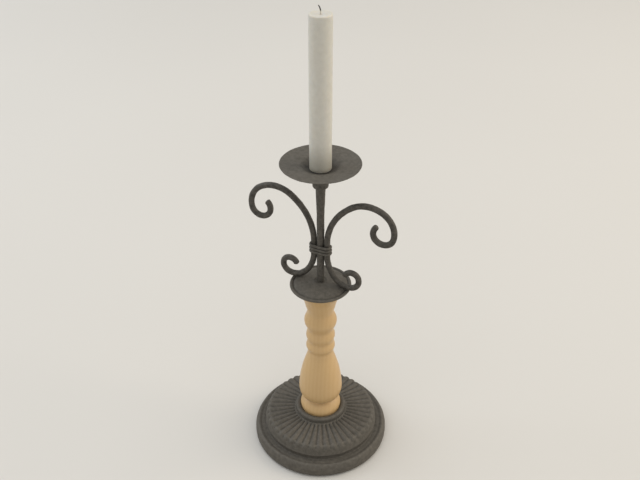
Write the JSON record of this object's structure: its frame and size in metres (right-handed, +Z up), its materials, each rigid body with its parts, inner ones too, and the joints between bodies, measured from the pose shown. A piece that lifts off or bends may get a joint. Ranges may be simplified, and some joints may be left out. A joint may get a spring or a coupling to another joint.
{
  "type": "candlestick",
  "caption": "Tall candlestick: fluted round iron foot, turned wooden column, forged stem with curled scrolls, drip pan with pricket and a straight candle.",
  "frame": {"origin": "centre of the underside, on the surface that the candlestick stands on", "axes": "+Z up along the candle; the two scrolls lie in the XZ plane"},
  "size_m": [0.1646, 0.156, 0.5182],
  "materials": {
    "cast_iron": "satin black, sand-cast grain",
    "forged_iron": "satin black, hammered",
    "turned_wood": "clear satin varnish over pale hardwood",
    "zinc_steel": "zinc plated",
    "felt": "dark wool felt",
    "wax": "off-white wax with a soft sheen",
    "wick_cotton": "braided cotton, dark tip"
  },
  "bodies": {
    "holder": {"felt_disc": "felt", "base_casting": "cast_iron", "seat_ring": "cast_iron", "wood_column": "turned_wood", "cap_plate": "cast_iron", "tie_rod": "zinc_steel", "rod_washer": "zinc_steel", "spring_washer": "zinc_steel", "rod_nut": "zinc_steel", "stem": "forged_iron", "scroll_right": "forged_iron", "scroll_left": "forged_iron", "binding_wire": "forged_iron", "pan_flange": "forged_iron", "drip_pan": "forged_iron", "pricket": "forged_iron"},
    "candle_body": {"candle": "wax", "wick": "wick_cotton"}
  },
  "joints": [
    {"name": "candle_lift", "type": "slide", "parent": "holder", "child": "candle_body", "axis": [0, 0, 1], "range_m": [0, 0.04]}
  ]
}
